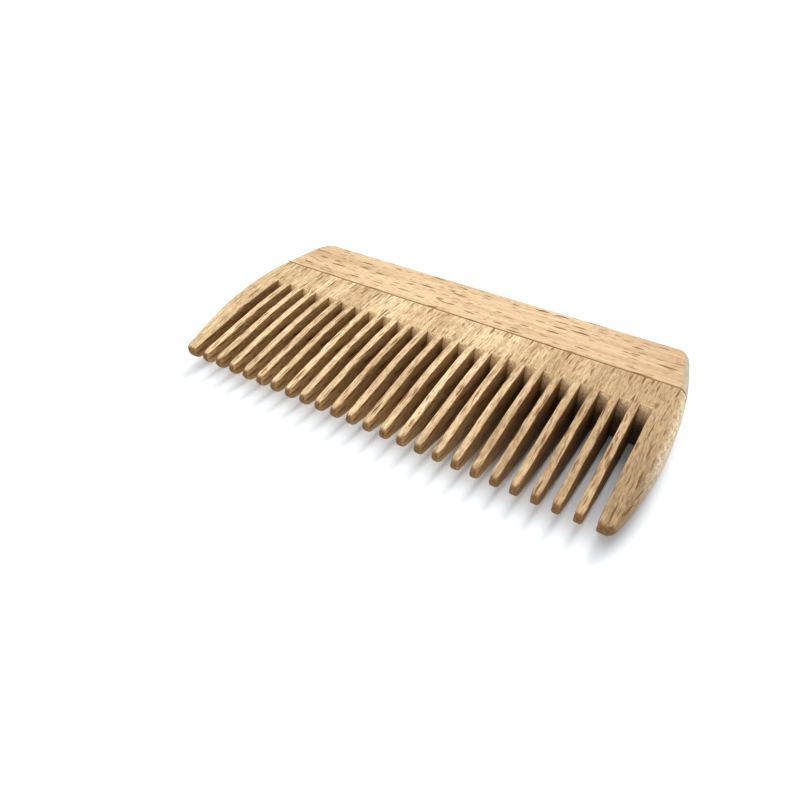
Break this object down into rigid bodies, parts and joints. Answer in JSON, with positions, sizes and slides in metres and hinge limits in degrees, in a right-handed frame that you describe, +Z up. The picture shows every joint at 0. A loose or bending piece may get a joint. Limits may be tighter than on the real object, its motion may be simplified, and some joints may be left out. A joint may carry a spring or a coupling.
{
  "type": "wooden hair comb",
  "caption": "Flat wooden hair comb with coarse tapered teeth sawn from one plate and a cross-grained back strip glued along a straight seam.",
  "frame": {"origin": "under the middle of the comb, on the lower face that it rests on", "axes": "+X along the comb's length, +Y from the tooth tips to the back edge, +Z up, through the thickness"},
  "size_m": [0.106, 0.053, 0.0108],
  "materials": {
    "plate_beech": "bare sanded beech, grain along the teeth",
    "cured_glue": "thin dark brown seam of cured wood glue soaked into end grain",
    "strip_beech": "bare sanded beech, grain along the comb"
  },
  "bodies": {
    "root": {"tooth_plate": "plate_beech", "glue_line": "cured_glue", "back_strip": "strip_beech"}
  },
  "joints": []
}
